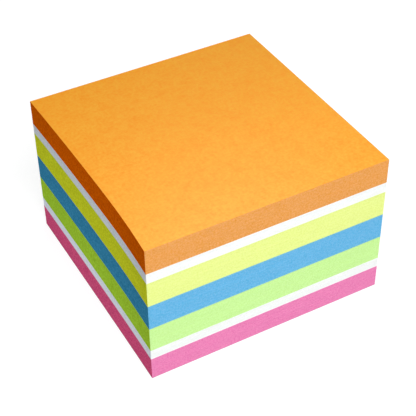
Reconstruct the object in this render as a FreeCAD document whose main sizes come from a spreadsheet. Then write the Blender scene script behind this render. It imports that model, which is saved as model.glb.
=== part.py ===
import FreeCAD, Part
import math
import os

import Sketcher

# A cube of sticky notes: seven blocks of coloured notes, one on another, over one backing sheet.
# All sheets are the same square of paper. The stack was cut to size in one go, so every block
# is flush with its neighbours and shares its corners with them. Three cut faces are flat. The
# knife ran in on the left one, which is hollow in plan, hardly at the foot and most at the top.
# Millimetres, +Z up. The origin is the middle of the underside, -Y is the front, -X the left.

# The driving dimensions: name, value, and what it measures
DIMENSIONS = [
    ("sheet_width", 76.0, "a note from left to right, along X"),
    ("sheet_length", 76.0, "a note from front to back, along Y"),
    ("sheet_pitch", 0.107, "one note and the adhesive under it, up the stack"),
    ("backing_thickness", 0.12, "the sheet that covers the lowest note's adhesive"),
    ("foot_hollow", 0.1, "the depth of the hollow in the left face at the foot"),
    ("top_hollow", 0.88, "the depth of the hollow in the left face at the top"),
    ("hollow_from_front", 24.0, "the hollow's deepest point, from the front edge"),
    ("pink_notes", 72, "notes in the pink block"),
    ("lower_white_notes", 32, "notes in the lower white block"),
    ("green_notes", 79, "notes in the green block"),
    ("blue_notes", 80, "notes in the blue block"),
    ("yellow_notes", 79, "notes in the yellow block"),
    ("upper_white_notes", 32, "notes in the upper white block"),
    ("orange_notes", 76, "notes in the orange block"),
]

# The layers from the underside up: each node, and its thickness worked out from the dimensions
LAYERS = [
    ("backing_sheet", "Sizes.backing_thickness"),
    ("pink_block", "Sizes.pink_notes * Sizes.sheet_pitch"),
    ("lower_white_block", "Sizes.lower_white_notes * Sizes.sheet_pitch"),
    ("green_block", "Sizes.green_notes * Sizes.sheet_pitch"),
    ("blue_block", "Sizes.blue_notes * Sizes.sheet_pitch"),
    ("yellow_block", "Sizes.yellow_notes * Sizes.sheet_pitch"),
    ("upper_white_block", "Sizes.upper_white_notes * Sizes.sheet_pitch"),
    ("orange_block", "Sizes.orange_notes * Sizes.sheet_pitch"),
]

# The edges of an outline sketch in the order they are added, and the points of an edge
FRONT, RIGHT, BACK, LEFT_REAR, LEFT_FORE = range(5)
START, END, CENTRE = 1, 2, 3
ORIGIN = (-1, 1)


def add_sizes(doc):
    """The sheet of driving dimensions, one named cell for each."""
    sizes = doc.addObject("Spreadsheet::Sheet", "Sizes")
    for row, (name, value, meaning) in enumerate(DIMENSIONS, start=1):
        sizes.set(f"A{row}", name)
        sizes.set(f"B{row}", str(value))
        sizes.setAlias(f"B{row}", name)
        sizes.set(f"C{row}", meaning)
    doc.recompute()
    return sizes


def height_up_to(layer_count):
    """The height of the lowest layers together, as an expression."""
    thicknesses = [thickness for _, thickness in LAYERS[:layer_count]]
    return " + ".join(thicknesses) or "0"


def hollow_at(layer_count):
    """The left face's hollow on top of the lowest layers, which deepens evenly up the stack."""
    share = f"({height_up_to(layer_count)}) / ({height_up_to(len(LAYERS))})"
    return f"Sizes.foot_hollow + (Sizes.top_hollow - Sizes.foot_hollow) * {share}"


def shallow_arc(deepest, depth, reach):
    """An arc that runs along Y at the hollow's deepest point and has come out by the hollow's
    whole depth at the corner, which lies reach away along Y."""
    radius = (reach**2 + depth**2) / (2 * depth)
    centre = deepest - FreeCAD.Vector(radius, 0, 0)
    circle = Part.Circle(centre, FreeCAD.Vector(0, 0, 1), radius)
    swing = math.asin(reach / radius)
    return Part.ArcOfCircle(circle, min(swing, 0), max(swing, 0))


def draw_edges(sketch, sizes, depth):
    """Three straight cut edges, and two arcs that meet in line at the hollow's deepest point."""
    right = sizes.sheet_width / 2
    back = sizes.sheet_length / 2
    front_left = FreeCAD.Vector(-right, -back, 0)
    front_right = FreeCAD.Vector(right, -back, 0)
    back_right = FreeCAD.Vector(right, back, 0)
    back_left = FreeCAD.Vector(-right, back, 0)
    deepest = front_left + FreeCAD.Vector(depth, sizes.hollow_from_front, 0)

    sketch.addGeometry(Part.LineSegment(front_left, front_right))
    sketch.addGeometry(Part.LineSegment(front_right, back_right))
    sketch.addGeometry(Part.LineSegment(back_right, back_left))
    sketch.addGeometry(shallow_arc(deepest, depth, back_left.y - deepest.y))
    sketch.addGeometry(shallow_arc(deepest, depth, front_left.y - deepest.y))


def join_edges(sketch):
    """Close the outline, square it up round the origin and set the hollow's direction."""
    joints = [
        ("Coincident", FRONT, END, RIGHT, START),
        ("Coincident", RIGHT, END, BACK, START),
        ("Coincident", BACK, END, LEFT_REAR, END),
        ("Tangent", LEFT_REAR, START, LEFT_FORE, END),
        ("Coincident", LEFT_FORE, START, FRONT, START),
        ("Horizontal", FRONT),
        ("Vertical", RIGHT),
        ("Horizontal", BACK),
        ("Vertical", LEFT_FORE, START, LEFT_REAR, END),
        ("Horizontal", LEFT_FORE, CENTRE, LEFT_FORE, END),
        ("Symmetric", FRONT, START, RIGHT, END, *ORIGIN),
    ]
    for joint in joints:
        sketch.addConstraint(Sketcher.Constraint(*joint))


def set_size(sketch, name, kind, points, value, expression):
    """Add one sized constraint, name it and tie it to the sheet of dimensions."""
    index = sketch.addConstraint(Sketcher.Constraint(kind, *points, value))
    sketch.renameConstraint(index, name)
    sketch.setExpression(f"Constraints.{name}", expression)


def add_outline(body, name, sizes, layers_below, height):
    """The outline that the knife left on top of the lowest layers, at a height in this body."""
    sketch = body.newObject("Sketcher::SketchObject", name)
    plane = next(item for item in body.Origin.OriginFeatures if item.Role == "XY_Plane")
    sketch.AttachmentSupport = [(plane, "")]
    sketch.MapMode = "FlatFace"
    sketch.setExpression("AttachmentOffset.Base.z", height)

    depth = sizes.evalExpression(hollow_at(layers_below))
    draw_edges(sketch, sizes, depth)
    join_edges(sketch)
    across = (FRONT, START, FRONT, END)
    along = (RIGHT, START, RIGHT, END)
    into_hollow = (LEFT_FORE, START, LEFT_FORE, END)
    set_size(sketch, "width", "DistanceX", across, sizes.sheet_width, "Sizes.sheet_width")
    set_size(sketch, "length", "DistanceY", along, sizes.sheet_length, "Sizes.sheet_length")
    set_size(sketch, "depth", "DistanceX", into_hollow, depth, hollow_at(layers_below))
    set_size(sketch, "from_front", "DistanceY", into_hollow, sizes.hollow_from_front,
             "Sizes.hollow_from_front")
    return sketch


def add_layer(doc, sizes, index):
    """One layer of the stack, standing on the layer below it. Its left face is ruled between
    the outline at its foot and the more hollow one at its head, which its neighbours share."""
    node, thickness = LAYERS[index]
    body = doc.addObject("PartDesign::Body", node)
    body.Label = node
    body.setExpression("Placement.Base.z", height_up_to(index))
    foot = add_outline(body, f"{node}_foot", sizes, index, "0")
    head = add_outline(body, f"{node}_head", sizes, index + 1, thickness)
    sheets = body.newObject("PartDesign::AdditiveLoft", f"{node}_sheets")
    sheets.Profile = foot
    sheets.Sections = [head]
    sheets.Ruled = True
    body.Tip = sheets
    return body


def check_document(doc, bodies):
    """Stop before anything is written if an object failed or a solid is missing or faulty."""
    failed = [item.Name for item in doc.Objects if {"Invalid", "Error"} & set(item.State)]
    faulty = [body.Label for body in bodies if body.Shape.isNull() or not body.Shape.isValid()]
    if failed or faulty:
        raise RuntimeError(f"failed objects: {failed}, faulty solids: {faulty}")


document = FreeCAD.newDocument("sticky_note_cube")
sizes_sheet = add_sizes(document)
layers = [add_layer(document, sizes_sheet, index) for index in range(len(LAYERS))]
document.recompute()
check_document(document, layers)

os.makedirs("parts", exist_ok=True)
for layer in layers:
    layer.Shape.exportStep(os.path.join("parts", f"{layer.Label}.step"))
    box = layer.Shape.BoundBox
    print(f"{layer.Label}: foot at {box.ZMin:.3f} mm, head at {box.ZMax:.3f} mm")
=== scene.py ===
import math

import bpy
import numpy as np
from mathutils import Matrix, Vector


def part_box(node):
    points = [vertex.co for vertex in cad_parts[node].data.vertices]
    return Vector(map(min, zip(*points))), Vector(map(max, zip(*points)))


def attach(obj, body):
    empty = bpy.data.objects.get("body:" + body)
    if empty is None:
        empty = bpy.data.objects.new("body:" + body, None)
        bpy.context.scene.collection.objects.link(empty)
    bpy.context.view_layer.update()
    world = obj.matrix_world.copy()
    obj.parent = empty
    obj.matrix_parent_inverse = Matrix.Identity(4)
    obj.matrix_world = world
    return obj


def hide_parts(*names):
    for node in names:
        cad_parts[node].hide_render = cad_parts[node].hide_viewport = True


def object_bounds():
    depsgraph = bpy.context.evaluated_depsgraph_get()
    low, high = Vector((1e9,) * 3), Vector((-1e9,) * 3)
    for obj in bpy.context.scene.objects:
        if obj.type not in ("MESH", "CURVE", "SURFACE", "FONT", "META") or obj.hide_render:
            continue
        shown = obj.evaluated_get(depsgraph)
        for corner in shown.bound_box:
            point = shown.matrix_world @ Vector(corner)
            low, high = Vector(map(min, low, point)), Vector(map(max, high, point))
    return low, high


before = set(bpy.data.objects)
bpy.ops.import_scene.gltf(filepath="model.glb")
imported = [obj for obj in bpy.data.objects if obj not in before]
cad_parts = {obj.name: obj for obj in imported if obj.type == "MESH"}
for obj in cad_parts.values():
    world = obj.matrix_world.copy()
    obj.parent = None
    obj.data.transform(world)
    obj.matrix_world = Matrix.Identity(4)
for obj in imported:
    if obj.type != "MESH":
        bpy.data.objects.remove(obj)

# A cube of sticky notes, dressed sheet by sheet over the solids of its blocks. All in metres.
CAD_LOW, CAD_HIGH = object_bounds()
MM = 0.001

# The blocks from the foot up: node, record slot, and the sheets in it
BLOCKS = [
    ("backing_sheet", "backing_paper", 1),
    ("pink_block", "pink_paper", 72),
    ("lower_white_block", "white_paper", 32),
    ("green_block", "green_paper", 79),
    ("blue_block", "blue_paper", 80),
    ("yellow_block", "yellow_paper", 79),
    ("upper_white_block", "white_paper", 32),
    ("orange_block", "orange_paper", 76),
]
LOWEST = BLOCKS[0][0]
UPPERMOST = BLOCKS[-1][0]

# The seed of the lowest block's uneven edges. Each block above it has the next number.
FIRST_SEED = 11

# Paper colours in sRGB: the cut edges, the edges on the left, where the notes are glued, and the
# face of a sheet. The left edges' colours are painted shade: deeper and more saturated, and
# the whites cooler, as that face looks in its shade.
PAPERS = {
    "backing_paper": ((236, 234, 228), (232, 230, 222), (238, 236, 230)),
    "pink_paper": ((240, 138, 189), (232, 90, 135), (241, 136, 187)),
    "white_paper": ((248, 251, 249), (245, 247, 253), (248, 250, 250)),
    "green_paper": ((209, 249, 162), (180, 217, 57), (207, 248, 161)),
    "blue_paper": ((111, 189, 232), (64, 148, 185), (111, 188, 234)),
    "yellow_paper": ((238, 250, 152), (230, 233, 46), (242, 250, 152)),
    "orange_paper": ((235, 165, 89), (241, 107, 2), (255, 165, 29)),
}

# The materials of a block, in the order of its material slots: cut edges, the left edges with
# painted shade in their colour, and the sheet face
CUT_EDGES, GLUED_SHADED_EDGES, FACES = range(3)

# The left face's hollow in the solids: how far in from the corners its deepest point is looked
# for, and how near to a level a point lies on it
HOLLOW_SEARCH = 3 * MM
LEVEL_TOLERANCE = 0.001 * MM

# How finely an edge is followed along a side, and all the way round
STEPS_PER_SIDE = 16
TURN = 4 * STEPS_PER_SIDE

# The cut: how unevenly the knife left the sheets. Up the stack the unevenness drifts and each
# sheet adds its own. Along an edge it is a wave through a few knots.
CUT_MARGIN = 0.035 * MM
DEEPEST_CUT = 3 * CUT_MARGIN
DRIFT_STEP = 0.004 * MM
DRIFT_HOLD = 0.93
SHEET_SCATTER = 0.007 * MM
WAVE_HEIGHT = 0.008 * MM
WAVE_KNOTS = 5

# The groove between two sheets: the share of a sheet's thickness that slopes into it, its depth,
# and the shares of that depth between which it varies
SHOULDER = 0.16
GROOVE_DEPTH = 0.022 * MM
GROOVE_RANGE = (0.6, 1.4)

# The uppermost sheet's sag: its depth, the number and lengths of its waves, and the share of a
# side over which it sets in
SAG_DEPTH = 0.06 * MM
SAG_WAVES = 7
SAG_LENGTHS = (20 * MM, 75 * MM)
SAG_RIM = 0.25

# A block laid out flat as a map of its surface: the map's name, and in
# shares of its width the height of a row, which holds one cut side, in a block that has a face
# on show and in one that hasn't, and the gap between neighbours
MAP_NAME = "OFBake"
ROW_WITH_FACE = 0.07
ROW_ALONE = 0.19
MAP_GAP = 0.006

# The grains of the paper as noise: turns to the metre across, along and up, detail, roughness
EDGE_GRAIN = ((1900, 1900, 1900), 3, 0.6)
EDGE_PATCHES = ((330, 330, 429), 3, 0.6)
SHEET_BY_SHEET = ((25, 25, 9300), 1, 0.5)
BAND_BY_BAND = ((8, 8, 1100), 2, 0.5)
FACE_GRAIN = ((1300, 1300, 1300), 4, 0.6)
FACE_CLOUDS = ((300, 300, 300), 4, 0.62)
FIBRES_ALONG = ((1900, 570, 1900), 4, 0.6)
FIBRES_ACROSS = ((570, 1900, 1900), 4, 0.6)

# The range over which such noise usually runs
USUAL_NOISE = (0.3, 0.7)

# What each grain does between its lowest and highest: its share in the fibres, its factor on the
# colour, or the roughness that it gives
EDGE_GRAIN_SHARE = (-0.06, 1.0)
EDGE_PATCH_SHARE = (-0.04, 0.11)
SHEET_TONE = (0.982, 1.012)
BAND_TONE = (0.995, 1.003)
EDGE_ROUGHNESS = (0.86, 0.98)
FACE_GRAIN_SHARE = (-0.06, 0.66)
FACE_CLOUD_SHARE = (-0.05, 0.26)
FACE_FIBRE_SHARE = (-0.14, 0.42)
FACE_ROUGHNESS = (0.36, 0.43)

# How each kind of surface takes its colour: the veil of white on the fibres, the shade between
# them, and the gloss. Then the depth and strength of its relief.
EDGE_LOOK = (0.060, 0.036, 0.08)
GLUED_LOOK = (0.030, 0.160, 0.0)
FACE_LOOK = (0.100, 0.022, 0.30)
EDGE_RELIEF = (0.05 * MM, 0.5)
FACE_RELIEF = (0.03 * MM, 0.4)

# A colour channel takes the whole veil from this level up, and no channel gets past the highest
VEIL_LEVEL = 0.1
HIGHEST_LEVEL = 0.99

# Where a mix node has its factor and its two colours among the inputs, and the mixed colour among
# the outputs
MIX_INPUTS = (0, 6, 7)
MIX_OUTPUT = 2

# The camera, as the photograph was taken
CAMERA_AZIMUTH = -28.52
CAMERA_ELEVATION = 40.40
CAMERA_ROLL = -0.81
CAMERA_DISTANCE = 0.3435
CAMERA_LENS = 98.33
CAMERA_SENSOR = 36.0
CAMERA_AIM = Vector((0.00015, -0.00192, 0.02000))
CAMERA_NEAR = 0.01
CAMERA_FAR = 20.0

# The lamps: name, place, the point that it faces, width, height, watts and colour
WHITE = (1, 1, 1)
SKY_WHITE = (0.80, 0.89, 1.0)
LAMPS = [
    ("key", (-0.02, -0.276, 0.36), (0, 0, 0.04), 0.24, 0.24, 2.05, WHITE),
    ("rear", (0.22, 0.30, 0.035), (0, 0, 0.02), 0.20, 0.05, 1.1, WHITE),
    ("sheen", (0.090, 0.112, 0.345), (0, -0.02, 0.048), 0.12, 0.12, 0.68, WHITE),
    ("left_fill", (-0.095, 0.01, 0.008), (0, 0.01, 0.008), 0.12, 0.014, 0.0203, SKY_WHITE),
    ("front_fill", (0, -0.062, 0.005), (0, 0, 0.005), 0.12, 0.010, 0.0015, WHITE),
]

# The surround, and the floor: half its width, its roughness, the white of its own that the camera
# sees, and the share of light that it gives back
SURROUND_COLOUR = (0.93, 0.96, 1.0)
SURROUND_STRENGTH = 0.20
FLOOR_REACH = 3.0
FLOOR_ROUGHNESS = 0.9
FLOOR_GLOW = 0.85
FLOOR_ALBEDO = 0.25


def linear(srgb):
    """An 8-bit sRGB colour as a linear one."""
    shares = [channel / 255 for channel in srgb]
    return [s / 12.92 if s <= 0.04045 else ((s + 0.055) / 1.055) ** 2.4 for s in shares]


def share_of(value, low, high):
    """How far a value lies from low to high."""
    return (value - low) / (high - low)


def hollow_of_cut():
    """The left face's hollow, read from the solids: depth at the foot and top, and its place."""
    def deepest(node, level):
        points = [vertex.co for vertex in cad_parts[node].data.vertices]
        ring = [p for p in points
                if abs(p.z - level) < LEVEL_TOLERANCE and p.x < CAD_LOW.x + HOLLOW_SEARCH]
        return max(ring, key=lambda p: p.x)
    foot = deepest(LOWEST, CAD_LOW.z)
    top = deepest(UPPERMOST, CAD_HIGH.z)
    return foot.x - CAD_LOW.x, top.x - CAD_LOW.x, top.y


FOOT_HOLLOW, TOP_HOLLOW, DEEPEST_Y = hollow_of_cut()


def left_face(y, z):
    """How far the left face lies in from the corners at a point of it."""
    depth = FOOT_HOLLOW + (TOP_HOLLOW - FOOT_HOLLOW) * share_of(z, CAD_LOW.z, CAD_HIGH.z)
    reach = np.where(y < DEEPEST_Y, DEEPEST_Y - CAD_LOW.y, CAD_HIGH.y - DEEPEST_Y)
    return depth * (1 - ((y - DEEPEST_Y) / reach) ** 2)


def knife_marks(rng, sheets):
    """How far each sheet's edge lies in from the cut, for each side and place along it."""
    marks = np.zeros((sheets, 4, STEPS_PER_SIDE + 1))
    along = np.linspace(0, WAVE_KNOTS - 1, STEPS_PER_SIDE + 1)
    for side in range(4):
        drift = 0.0
        for sheet in range(sheets):
            drift = DRIFT_HOLD * drift + rng.normal(0, DRIFT_STEP)
            own = rng.normal(0, SHEET_SCATTER)
            knots = rng.normal(0, WAVE_HEIGHT, WAVE_KNOTS)
            wave = np.interp(along, np.arange(WAVE_KNOTS), knots)
            marks[sheet, side] = CUT_MARGIN + drift + own + wave
    return np.clip(marks, 0, DEEPEST_CUT)


def ring_points(inset, z):
    """One turn round the stack at a height: front, right, back, left, each a run of points. The
    stack is centred, so the way back along a side is the way out with the other sign."""
    low_x, high_x, low_y, high_y = CAD_LOW.x, CAD_HIGH.x, CAD_LOW.y, CAD_HIGH.y
    share = np.linspace(0, 1, STEPS_PER_SIDE + 1)[:-1]
    front, right, back, left = inset
    x = low_x + (high_x - low_x) * share
    y = low_y + (high_y - low_y) * share
    runs = [
        np.stack([x, low_y + front[:-1]], 1),
        np.stack([high_x - right[:-1], y], 1),
        np.stack([-x, high_y - back[:-1]], 1),
        np.stack([low_x + left_face(-y, z) + left[:-1], -y], 1),
    ]

    # A corner lies in from both of the sides that meet there
    runs[0][0, 0] += left[-1]
    runs[1][0, 1] += front[-1]
    runs[2][0, 0] -= right[-1]
    runs[3][0, 1] -= back[-1]
    flat = np.concatenate(runs)
    return np.column_stack([flat, np.full(len(flat), z)])


def block_rings(node, sheets, rng):
    """The turns of one block from its foot to its head: a groove between each two sheets."""
    low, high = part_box(node)
    pitch = (high.z - low.z) / sheets
    slope = SHOULDER * pitch
    marks = knife_marks(rng, sheets)
    rings = []
    for sheet in range(sheets):
        foot = low.z + sheet * pitch
        below = marks[sheet - 1] if sheet else marks[sheet]
        groove = np.maximum(below, marks[sheet]) + GROOVE_DEPTH * rng.uniform(*GROOVE_RANGE)
        rings.append(ring_points(groove, foot))
        rings.append(ring_points(marks[sheet], foot + slope))
        rings.append(ring_points(marks[sheet], foot + pitch - slope))
    if node == UPPERMOST:
        rings[-1] = ring_points(marks[-1], high.z - slope / 2)
        rings.append(ring_points(marks[-1] + slope / 2, high.z))
    else:
        rings.append(ring_points(marks[-1] + GROOVE_DEPTH, high.z))
    return rings


def sag_waves(rng):
    """The waves of the uppermost sheet: the length, heading and phase of each."""
    waves = []
    for _ in range(SAG_WAVES):
        length = rng.uniform(*SAG_LENGTHS)
        heading = rng.uniform(0, 2 * math.pi)
        phase = rng.uniform(0, 2 * math.pi)
        waves.append((length, heading, phase))
    return waves


def sag_at(x, y, waves):
    """The share of its depth that the sag has at a place."""
    total = 0.0
    for length, heading, phase in waves:
        run = math.cos(heading) * x + math.sin(heading) * y
        total += 0.5 + 0.5 * math.sin(2 * math.pi * run / length + phase)
    return total / len(waves)


def top_sheet(ring, rng):
    """The inner points of the uppermost sheet, which lies almost but not quite flat."""
    waves = sag_waves(rng)
    points = []
    for row in range(1, STEPS_PER_SIDE):
        left = ring[TURN - row]
        right = ring[STEPS_PER_SIDE + row]
        along = row / STEPS_PER_SIDE
        for column in range(1, STEPS_PER_SIDE):
            front = ring[column]
            back = ring[3 * STEPS_PER_SIDE - column]
            across = column / STEPS_PER_SIDE
            point = left * (1 - across) + right * across
            point[1] = (front * (1 - along) + back * along)[1]
            from_edge = min(across, 1 - across, along, 1 - along)
            hold = min(1.0, from_edge / SAG_RIM)
            point[2] -= SAG_DEPTH * sag_at(point[0], point[1], waves) * hold
            points.append(point)
    return points


def grid_faces(outer, inner):
    """Quads over the square inside a ring, from its points and a grid of inner ones."""
    count = STEPS_PER_SIDE

    def index(column, row):
        if row == 0:
            return outer + column
        if column == count:
            return outer + count + row
        if row == count:
            return outer + 3 * count - column
        if column == 0:
            return outer + TURN - row
        return inner + (row - 1) * (count - 1) + column - 1

    quads = []
    for row in range(count):
        for column in range(count):
            quads.append((
                index(column, row),
                index(column + 1, row),
                index(column + 1, row + 1),
                index(column, row + 1),
            ))
    return quads


def wall_faces(levels):
    """Quads round a block between each two of its turns."""
    quads = []
    for level in range(levels):
        for step in range(TURN):
            here = level * TURN + step
            beside = level * TURN + (step + 1) % TURN
            quads.append((here, beside, beside + TURN, here + TURN))
    return quads


def lay_out_map(mesh, node):
    """Lay a block out flat: its four cut sides in rows as long as the map, and over the rows its
    head and foot as squares, of which one that can be on show is the larger. Face 0 is the foot,
    and the quads of the cut sides follow it turn by turn."""
    low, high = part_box(node)
    row = ROW_WITH_FACE if node in (LOWEST, UPPERMOST) else ROW_ALONE
    rise = 4 * (row + MAP_GAP)
    large = 1 - rise
    small = min(large, rise - MAP_GAP)

    def end_place(point, is_head):
        on_show = is_head == (node != LOWEST)
        start, size = (0, large) if on_show else (large + MAP_GAP, small)
        across = share_of(point.x, CAD_LOW.x, CAD_HIGH.x)
        along = share_of(point.y, CAD_LOW.y, CAD_HIGH.y)
        return start + size * (across if is_head else 1 - across), rise + size * along

    def side_place(point, step, corner):
        side, column = divmod(step, STEPS_PER_SIDE)
        # A quad's second and third corners lie one step further round the block
        further = corner in (1, 2)
        height = share_of(point.z, low.z, high.z)
        return (column + further) / STEPS_PER_SIDE, side * (row + MAP_GAP) + row * height

    layer = mesh.uv_layers.new(name=MAP_NAME)
    for face in mesh.polygons:
        is_head = face.center.z > (low.z + high.z) / 2
        for corner, loop in enumerate(face.loop_indices):
            point = mesh.vertices[mesh.loops[loop].vertex_index].co
            if face.material_index == FACES:
                layer.data[loop].uv = end_place(point, is_head)
            else:
                layer.data[loop].uv = side_place(point, (face.index - 1) % TURN, corner)


def block_mesh(node, sheets, rng):
    """The sheets of one block as a single closed mesh: its foot, its walls and its head."""
    rings = block_rings(node, sheets, rng)
    points = [point for ring in rings for point in ring]
    levels = len(rings) - 1
    rim = levels * TURN
    foot = tuple(reversed(range(TURN)))
    if node == UPPERMOST:
        head = grid_faces(rim, len(points))
        points += top_sheet(rings[-1], rng)
    else:
        head = [tuple(range(rim, rim + TURN))]
    faces = [foot, *wall_faces(levels), *head]
    # Round each turn the three cut sides, then the left side, whose material has painted shade in
    # its colour
    turn_materials = [CUT_EDGES] * (3 * STEPS_PER_SIDE) + [GLUED_SHADED_EDGES] * STEPS_PER_SIDE
    materials = [FACES, *(turn_materials * levels), *([FACES] * len(head))]
    smooth = np.zeros(len(faces), bool)
    smooth[-len(head):] = node == UPPERMOST

    mesh = bpy.data.meshes.new(node.replace("_block", "_notes").replace("_sheet", "_paper"))
    mesh.from_pydata([tuple(point) for point in points], [], faces)
    mesh.polygons.foreach_set("material_index", materials)
    mesh.polygons.foreach_set("use_smooth", smooth)
    mesh.update()
    for edge in mesh.edges:
        edge.use_edge_sharp = min(edge.vertices) >= rim and max(edge.vertices) < rim + TURN
    lay_out_map(mesh, node)
    mesh.validate()
    return mesh


def build_block(node, sheets, materials, seed):
    """One block of notes in the place of its solid."""
    mesh = block_mesh(node, sheets, np.random.default_rng(seed))
    for material in materials:
        mesh.materials.append(material)
    piece = bpy.data.objects.new(mesh.name, mesh)
    bpy.context.scene.collection.objects.link(piece)
    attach(piece, "root")
    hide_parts(node)


class Nodes:
    """A short way to write a tree of nodes."""

    def __init__(self, tree):
        self.tree = tree

    def add(self, kind, **inputs):
        """A new node with some of its inputs set, where _ in a name stands for a space."""
        node = self.tree.nodes.new(kind)
        for name, value in inputs.items():
            self.put(node.inputs[name.replace("_", " ")], value)
        return node

    def put(self, socket, value):
        """Set an input to a value, or link an output to it."""
        if isinstance(value, bpy.types.NodeSocket):
            self.tree.links.new(value, socket)
        else:
            socket.default_value = value

    def math(self, operation, a, b):
        """A sum or product of two values."""
        node = self.tree.nodes.new("ShaderNodeMath")
        node.operation = operation
        self.put(node.inputs[0], a)
        self.put(node.inputs[1], b)
        return node.outputs[0]

    def combine(self, kind, a, b):
        """Two shaders as one, which fill the last two inputs of a node."""
        node = self.tree.nodes.new(kind)
        self.put(node.inputs[-2], a)
        self.put(node.inputs[-1], b)
        return node


class Paper(Nodes):
    """A material of paper, with noise over the surface for its grain."""

    def __init__(self, name):
        self.material = bpy.data.materials.new(name)
        self.material.use_nodes = True
        super().__init__(self.material.node_tree)
        self.shader = self.tree.nodes["Principled BSDF"]
        self.place = self.add("ShaderNodeTexCoord").outputs["Object"]

    def noise(self, grain):
        """The noise of one grain."""
        turns, detail, roughness = grain
        place = self.add("ShaderNodeMapping", Vector=self.place, Scale=turns)
        return self.add("ShaderNodeTexNoise", Vector=place.outputs["Vector"], Scale=1.0,
                        Detail=detail, Roughness=roughness).outputs["Fac"]

    def spread(self, value, ends):
        """A noise value stretched to run between two ends over its usual range."""
        node = self.add("ShaderNodeMapRange", Value=value)
        sockets = ("From Min", "From Max", "To Min", "To Max")
        for name, end in zip(sockets, (*USUAL_NOISE, *ends)):
            self.put(node.inputs[name], end)
        return node.outputs["Result"]

    def tint(self, colour, fibre, veil, shade):
        """The colour with its grain: paler by a veil of white on the fibres, deeper between
        them, and a shade lighter and darker with it."""
        reach = [veil * (1 - c) * min(1, c / VEIL_LEVEL) for c in colour]
        deep = [(c - r) * (1 - shade) for c, r in zip(colour, reach)]
        pale = [min(HIGHEST_LEVEL, (c + r) * (1 + shade)) for c, r in zip(colour, reach)]
        node = self.add("ShaderNodeMix")
        node.data_type = "RGBA"
        for index, value in zip(MIX_INPUTS, (fibre, (*deep, 1), (*pale, 1))):
            self.put(node.inputs[index], value)
        return node.outputs[MIX_OUTPUT]

    def scale_colour(self, colour, factor):
        """The colour times a factor that varies over the surface."""
        node = self.tree.nodes.new("ShaderNodeVectorMath")
        node.operation = "SCALE"
        self.put(node.inputs[0], colour)
        self.put(node.inputs["Scale"], factor)
        return node.outputs["Vector"]

    def finish(self, colour, roughness, specular, height, relief):
        """Give the surface its colour, roughness, gloss and relief."""
        distance, strength = relief
        bump = self.add("ShaderNodeBump", Height=height, Distance=distance, Strength=strength)
        self.put(self.shader.inputs["Base Color"], colour)
        self.put(self.shader.inputs["Roughness"], roughness)
        self.put(self.shader.inputs["Specular IOR Level"], specular)
        self.put(self.shader.inputs["Normal"], bump.outputs["Normal"])
        return self.material


def cut_edge_paper(name, colour, look):
    """Sheets seen edge on: each a little lighter or darker than the next, with a torn grain."""
    veil, shade, specular = look
    paper = Paper(name)
    per_sheet = paper.noise(SHEET_BY_SHEET)
    bands = paper.noise(BAND_BY_BAND)
    grain = paper.noise(EDGE_GRAIN)
    patches = paper.noise(EDGE_PATCHES)
    fibre = paper.math("ADD", paper.spread(grain, EDGE_GRAIN_SHARE),
                       paper.spread(patches, EDGE_PATCH_SHARE))
    tone = paper.math("MULTIPLY", paper.spread(per_sheet, SHEET_TONE),
                      paper.spread(bands, BAND_TONE))
    tinted = paper.tint(linear(colour), fibre, veil, shade)
    roughness = paper.spread(grain, EDGE_ROUGHNESS)
    return paper.finish(paper.scale_colour(tinted, tone), roughness, specular, grain, EDGE_RELIEF)


def sheet_face_paper(name, colour, look):
    """The face of a sheet: cloudy where the fibres lie thicker, with fine fibres over it."""
    veil, shade, specular = look
    paper = Paper(name)
    clouds = paper.noise(FACE_CLOUDS)
    grain = paper.noise(FACE_GRAIN)
    fibres = paper.noise(FIBRES_ALONG)
    cross = paper.noise(FIBRES_ACROSS)
    both = paper.math("ADD", fibres, cross)
    woven = paper.math("MULTIPLY", both, 0.5)
    fibre = paper.math("ADD", paper.spread(grain, FACE_GRAIN_SHARE),
                       paper.spread(clouds, FACE_CLOUD_SHARE))
    fibre = paper.math("ADD", fibre, paper.spread(woven, FACE_FIBRE_SHARE))
    tinted = paper.tint(linear(colour), fibre, veil, shade)
    roughness = paper.spread(fibres, FACE_ROUGHNESS)
    return paper.finish(tinted, roughness, specular, both, FACE_RELIEF)


def paper_materials():
    """For each slot the three materials of a block: cut edges, glued edges in painted shade,
    sheet face.
    """
    made = {}
    for slot, (edge, glued_shaded, face) in PAPERS.items():
        made[slot] = [
            cut_edge_paper(slot + "_edge", edge, EDGE_LOOK),
            # The left edges: the cut edge's paper with painted shade, deeper and cooler in colour
            cut_edge_paper(slot + "_glued_shaded_edge", glued_shaded, GLUED_LOOK),
            sheet_face_paper(slot + "_face", face, FACE_LOOK),
        ]
    return made


def build_camera():
    """The camera: turned round the vertical, raised, rolled, and drawn back from its aim."""
    angles = (CAMERA_AZIMUTH, CAMERA_ELEVATION, CAMERA_ROLL)
    azimuth, elevation, roll = (math.radians(angle) for angle in angles)
    level = Vector((math.cos(azimuth), math.sin(azimuth), 0))
    back = Vector((
        math.sin(azimuth) * math.cos(elevation),
        -math.cos(azimuth) * math.cos(elevation),
        math.sin(elevation),
    ))
    upright = back.cross(level)
    right = level * math.cos(roll) + upright * math.sin(roll)
    up = upright * math.cos(roll) - level * math.sin(roll)

    data = bpy.data.cameras.new("camera")
    data.lens = CAMERA_LENS
    data.sensor_width = CAMERA_SENSOR
    data.clip_start = CAMERA_NEAR
    data.clip_end = CAMERA_FAR
    camera = bpy.data.objects.new("camera", data)
    turn = Matrix((right, up, back)).transposed()
    camera.matrix_world = Matrix.Translation(CAMERA_AIM + back * CAMERA_DISTANCE) @ turn.to_4x4()
    bpy.context.scene.collection.objects.link(camera)
    bpy.context.scene.camera = camera


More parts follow.
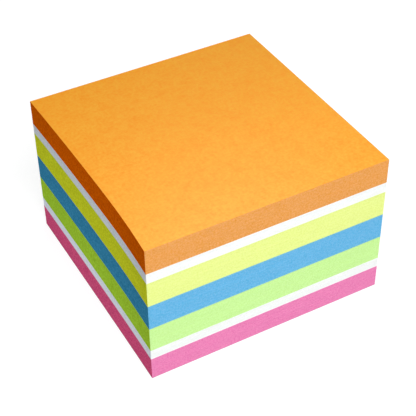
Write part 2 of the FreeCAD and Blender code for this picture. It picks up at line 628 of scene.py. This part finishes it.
def area_light(name, place, aim, width, height, power, colour):
    """A soft light of a size at a place, facing a point, and itself unseen."""
    data = bpy.data.lights.new(name, "AREA")
    data.shape = "RECTANGLE"
    data.size = width
    data.size_y = height
    data.energy = power
    data.color = colour
    lamp = bpy.data.objects.new(name, data)
    lamp.location = place
    lamp.rotation_euler = (Vector(aim) - Vector(place)).to_track_quat("-Z", "Y").to_euler()
    lamp.visible_camera = False
    bpy.context.scene.collection.objects.link(lamp)
    return lamp


def build_light():
    """A soft key from the front and above, a light from behind, a lamp overhead that only gives
    the paper its sheen, two low fills that lift the foot of the stack as a pale table top would,
    and an even surround. The camera sees the surround as white as the floor is far off."""
    lamps = {lamp[0]: area_light(*lamp) for lamp in LAMPS}
    lamps["sheen"].visible_diffuse = False

    world = bpy.data.worlds.new("surround")
    world.use_nodes = True
    bpy.context.scene.world = world
    nodes = Nodes(world.node_tree)
    surround = nodes.tree.nodes["Background"]
    nodes.put(surround.inputs["Color"], (*SURROUND_COLOUR, 1))
    nodes.put(surround.inputs["Strength"], SURROUND_STRENGTH)
    backdrop = nodes.add("ShaderNodeBackground", Color=(*WHITE, 1),
                         Strength=FLOOR_GLOW + FLOOR_ALBEDO * SURROUND_STRENGTH)
    seen = nodes.add("ShaderNodeLightPath").outputs["Is Camera Ray"]
    mix = nodes.combine("ShaderNodeMixShader", surround.outputs[0], backdrop.outputs[0])
    nodes.put(mix.inputs["Fac"], seen)
    nodes.put(nodes.tree.nodes["World Output"].inputs["Surface"], mix.outputs[0])


def build_floor():
    """A plain white table top. Most of its white is its own, which only the camera sees, so it
    hardly lights the cube. The rest is light that it gives back, and the shadow shows in that."""
    sides = [(-1, -1), (1, -1), (1, 1), (-1, 1)]
    corners = [(x * FLOOR_REACH, y * FLOOR_REACH, 0) for x, y in sides]
    mesh = bpy.data.meshes.new("floor")
    mesh.from_pydata(corners, [], [(0, 1, 2, 3)])
    floor = bpy.data.objects.new("floor", mesh)
    floor.location.z = CAD_LOW.z

    material = bpy.data.materials.new("floor")
    material.use_nodes = True
    nodes = Nodes(material.node_tree)
    shader = nodes.tree.nodes["Principled BSDF"]
    nodes.put(shader.inputs["Base Color"], (FLOOR_ALBEDO, FLOOR_ALBEDO, FLOOR_ALBEDO, 1))
    nodes.put(shader.inputs["Roughness"], FLOOR_ROUGHNESS)
    nodes.put(shader.inputs["Specular IOR Level"], 0)
    seen = nodes.add("ShaderNodeLightPath").outputs["Is Camera Ray"]
    strength = nodes.math("MULTIPLY", seen, FLOOR_GLOW)
    glow = nodes.add("ShaderNodeEmission", Color=(*WHITE, 1), Strength=strength)
    both = nodes.combine("ShaderNodeAddShader", shader.outputs[0], glow.outputs[0])
    nodes.put(nodes.tree.nodes["Material Output"].inputs["Surface"], both.outputs[0])
    mesh.materials.append(material)
    bpy.context.scene.collection.objects.link(floor)


papers = paper_materials()
for seed, (node, slot, sheets) in enumerate(BLOCKS, start=FIRST_SEED):
    build_block(node, sheets, papers[slot], seed)
build_camera()
build_light()
build_floor()
bpy.context.scene.view_settings.view_transform = "Standard"
